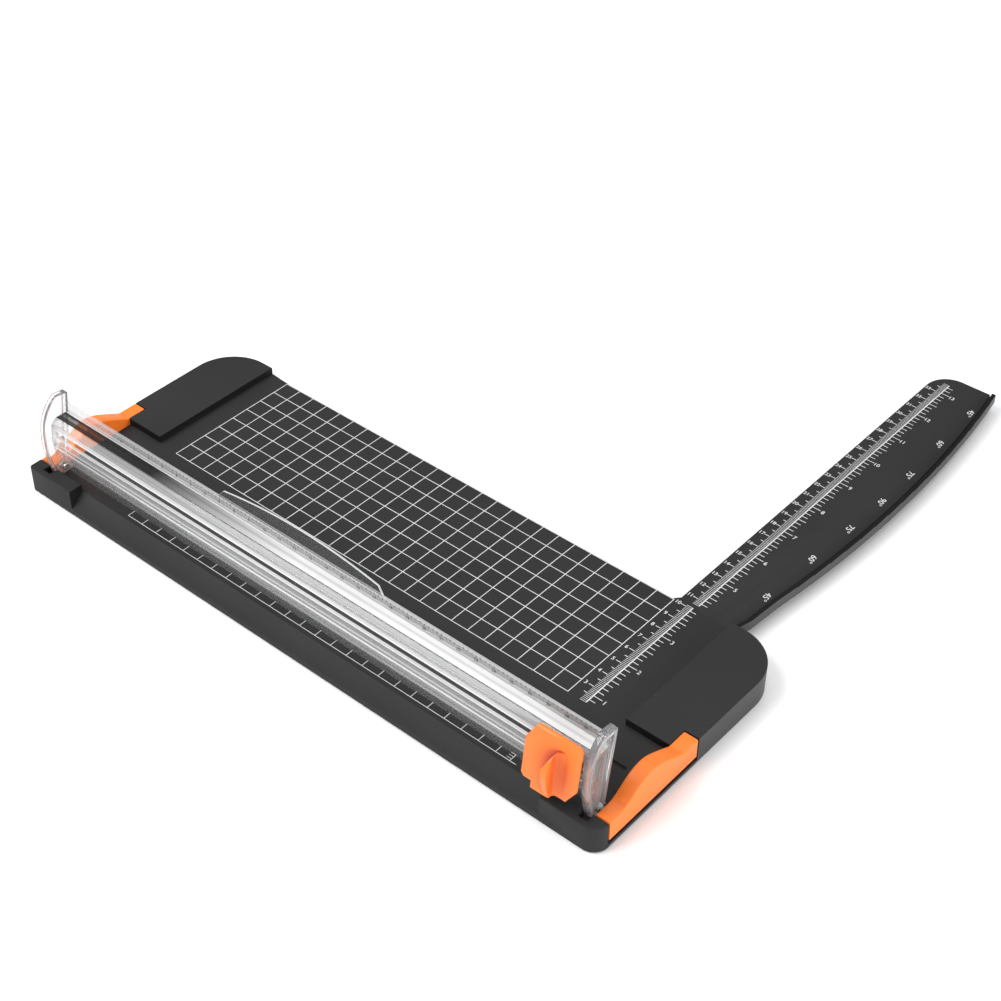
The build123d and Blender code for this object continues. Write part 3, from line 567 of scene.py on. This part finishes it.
def makeScale(name, look, z, startMm, endMm):
    parts = []
    zero = bed["cutY"]
    bandLeft = look["bandLeft"]
    bandWide = look["bandRight"] - bandLeft
    parts.append(inkRow(bandLeft + bandWide / 2, zero + startMm, z, bandWide, look["mmLine"], (0, 1.0),
                        endMm - startMm + 1))
    halfCm = cmLong // 2
    firstHalf = math.ceil((startMm - halfCm) / cmLong) * cmLong + halfCm
    halves = (endMm - firstHalf) // cmLong + 1
    parts.append(inkRow((look["halfLeft"] + bandLeft) / 2, zero + firstHalf, z, bandLeft - look["halfLeft"],
                        look["tick"], (0, cmLong), halves))
    firstCm = max(math.ceil(startMm / cmLong), look["firstFigure"])
    lastCm = endMm // cmLong
    parts.append(inkRow((look["cmLeft"] + bandLeft) / 2, zero + firstCm * cmLong, z, bandLeft - look["cmLeft"],
                        look["tick"], (0, cmLong), lastCm - firstCm + 1))
    long = endMm - startMm
    parts.append(inkBar(look["boldX"], zero + startMm + long / 2, z, look["boldWide"], long))
    ticksEach = len(look["inchTicks"])
    eighth = inchLong / ticksEach
    firstEighth = math.ceil(startMm / eighth)
    lastEighth = int(endMm / eighth)
    tickLeft = look["boldX"] + look["boldWide"] / 2
    for turn, reach in enumerate(look["inchTicks"]):
        first = firstEighth + (turn - firstEighth) % ticksEach
        count = (lastEighth - first) // ticksEach + 1
        if count > 0:
            parts.append(inkRow(tickLeft + look[reach] / 2, zero + first * eighth, z, look[reach], look["tick"],
                                (0, eighth * ticksEach), count))
    for figure in range(firstCm, lastCm + 1):
        place = (look["cmNumberX"], zero + figure * cmLong, z)
        parts.append(inkText(str(figure), look["cmNumber"], place))
    for figure in range(math.ceil(startMm / inchLong), int(endMm / inchLong) + 1):
        place = (look["inchNumberX"], zero + figure * inchLong - look["inchNumberDrop"], z)
        parts.append(inkText(str(figure), look["inchNumber"], place))
    return joinAs(name, parts)


angleLook = {"size": 3.3, "turn": -90.0, "degree": "°",
             "spots": ((45, 151.0, 101.3), (60, 152.4, 138.4), (75, 154.0, 169.7), (90, 154.9, 198.2),
                       (75, 154.4, 226.4), (60, 152.9, 259.2), (45, 151.6, 293.4))}


def makeAngles(look):
    parts = []
    for value, x, y in look["spots"]:
        parts.append(inkText(str(value) + look["degree"], look["size"], (x, y, armTop), look["turn"]))
    return joinAs("arm_angle_print", parts)


frontLook = {"baseY": -59.9, "tickTop": -55.6, "line": 0.3, "firstX": 119.4, "count": 25, "markX": 127.5,
             "rung": 2.7, "rungLine": 0.22, "rungs": 3, "rungStep": 1.5, "endX": 131.0}


def makeFrontScale(look):
    top = bed["top"]
    under = top - ink["under"]
    long = look["tickTop"] - look["baseY"]
    middle = look["baseY"] + long / 2
    left = look["firstX"] - cmLong * (look["count"] - 1)
    parts = [inkBar((left + look["endX"]) / 2, look["baseY"], top, look["endX"] - left, look["line"]),
             inkRow(left, middle, under, look["line"], long, (cmLong, 0), look["count"]),
             inkBar(look["markX"], middle, under, look["line"], long),
             inkRow(look["markX"] - look["rung"] / 2, look["tickTop"], top, look["rung"], look["rungLine"],
                    (0, -look["rungStep"]), look["rungs"])]
    return joinAs("front_scale_print", parts)


railInk = {"reach": 35.9, "rise": 0.4, "size": 1.7, "first": -129.2, "step": 10.0, "count": 31,
           "tickReach": 37.9, "tick": 0.3, "tickLong": 1.1, "tickStep": 2.5, "ticksEach": 4}


def makeRailNumbers(look):
    parts = []
    for index in range(look["count"]):
        place = (look["first"] + index * look["step"], look["reach"], look["rise"])
        parts.append(inkText(str(index), look["size"], place))
    parts.append(inkRow(look["first"], look["tickReach"], look["rise"], look["tick"], look["tickLong"],
                        (look["tickStep"], 0), (look["count"] - 1) * look["ticksEach"] + 1))
    numbers = joinAs("rail_number_print", parts)
    numbers.location = (0, railPose["hinge"][0] * mm, railPose["hinge"][1] * mm)
    numbers.rotation_euler = (math.radians(railPose["turn"]), 0, 0)
    return settle(numbers)


bedSpan = (scaleLook["bedFrom"], scaleLook["bedTo"])
armSpan = (scaleLook["armFrom"], scaleLook["armTo"])
prints = ((makeBedGrid(gridLook), "base"),
          (makeScale("bed_scale_print", scaleLook, bed["top"], *bedSpan), "base"),
          (makeScale("arm_scale_print", scaleLook, armTop, *armSpan), "arm"),
          (makeAngles(angleLook), "arm"),
          (makeFrontScale(frontLook), "base"),
          (makeRailNumbers(railInk), "rail"))
for piece, body in prints:
    coat(piece, darkInk if body == "rail" else whitePrint)
    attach(piece, body)
    print("print", piece.name, len(piece.data.polygons), "faces")


# floor, light and camera

floorLook = {"size": 8.0, "colour": (0.93, 0.93, 0.93), "rough": 0.9}
deselectAll()
bpy.ops.mesh.primitive_plane_add(size=floorLook["size"], location=(0, 0, 0))
floor = bpy.context.object
floor.name = "studio_floor"
floorMat = bpy.data.materials.new("studioFloor")
floorMat.use_nodes = True
floorShader = floorMat.node_tree.nodes["Principled BSDF"]
floorShader.inputs["Base Color"].default_value = (*floorLook["colour"], 1)
floorShader.inputs["Roughness"].default_value = floorLook["rough"]
coat(floor, floorMat)

lights = {"key": {"place": (-0.7, -0.85, 1.35), "aim": (0, -0.03, 0.03), "size": (1.3, 1.1), "power": 28},
          "top": {"place": (0.0, 0.55, 1.6), "aim": (0, 0, 0), "size": (1.4, 1.2), "power": 9},
          "right": {"place": (1.55, 0.05, 0.42), "aim": (0.1, 0.0, 0), "size": (1.6, 0.5), "power": 17}}
for lightName, look in lights.items():
    data = bpy.data.lights.new(lightName, "AREA")
    data.shape = "RECTANGLE"
    data.size = look["size"][0]
    data.size_y = look["size"][1]
    data.energy = look["power"]
    lamp = bpy.data.objects.new(lightName, data)
    lamp.location = look["place"]
    lamp.rotation_euler = (Vector(look["aim"]) - Vector(look["place"])).to_track_quat("-Z", "Y").to_euler()
    bpy.context.scene.collection.objects.link(lamp)

worldLook = {"colour": (1, 1, 1), "strength": 0.5}
world = bpy.data.worlds.new("studioWorld")
world.use_nodes = True
sky = world.node_tree.nodes["Background"]
sky.inputs["Color"].default_value = (*worldLook["colour"], 1)
sky.inputs["Strength"].default_value = worldLook["strength"]
bpy.context.scene.world = world
bpy.context.scene.view_settings.view_transform = "Standard"

cameraLook = {"place": (0.47614, -0.48351, 0.61706), "turn": (50.0501, -0.5592, 40.4834), "lens": 67.506,
              "sensor": 36}
cameraData = bpy.data.cameras.new("photoCamera")
cameraData.lens = cameraLook["lens"]
cameraData.sensor_width = cameraLook["sensor"]
camera = bpy.data.objects.new("photoCamera", cameraData)
camera.location = cameraLook["place"]
camera.rotation_euler = Euler([math.radians(angle) for angle in cameraLook["turn"]], "XYZ")
bpy.context.scene.collection.objects.link(camera)
bpy.context.scene.camera = camera
print("light and camera set")
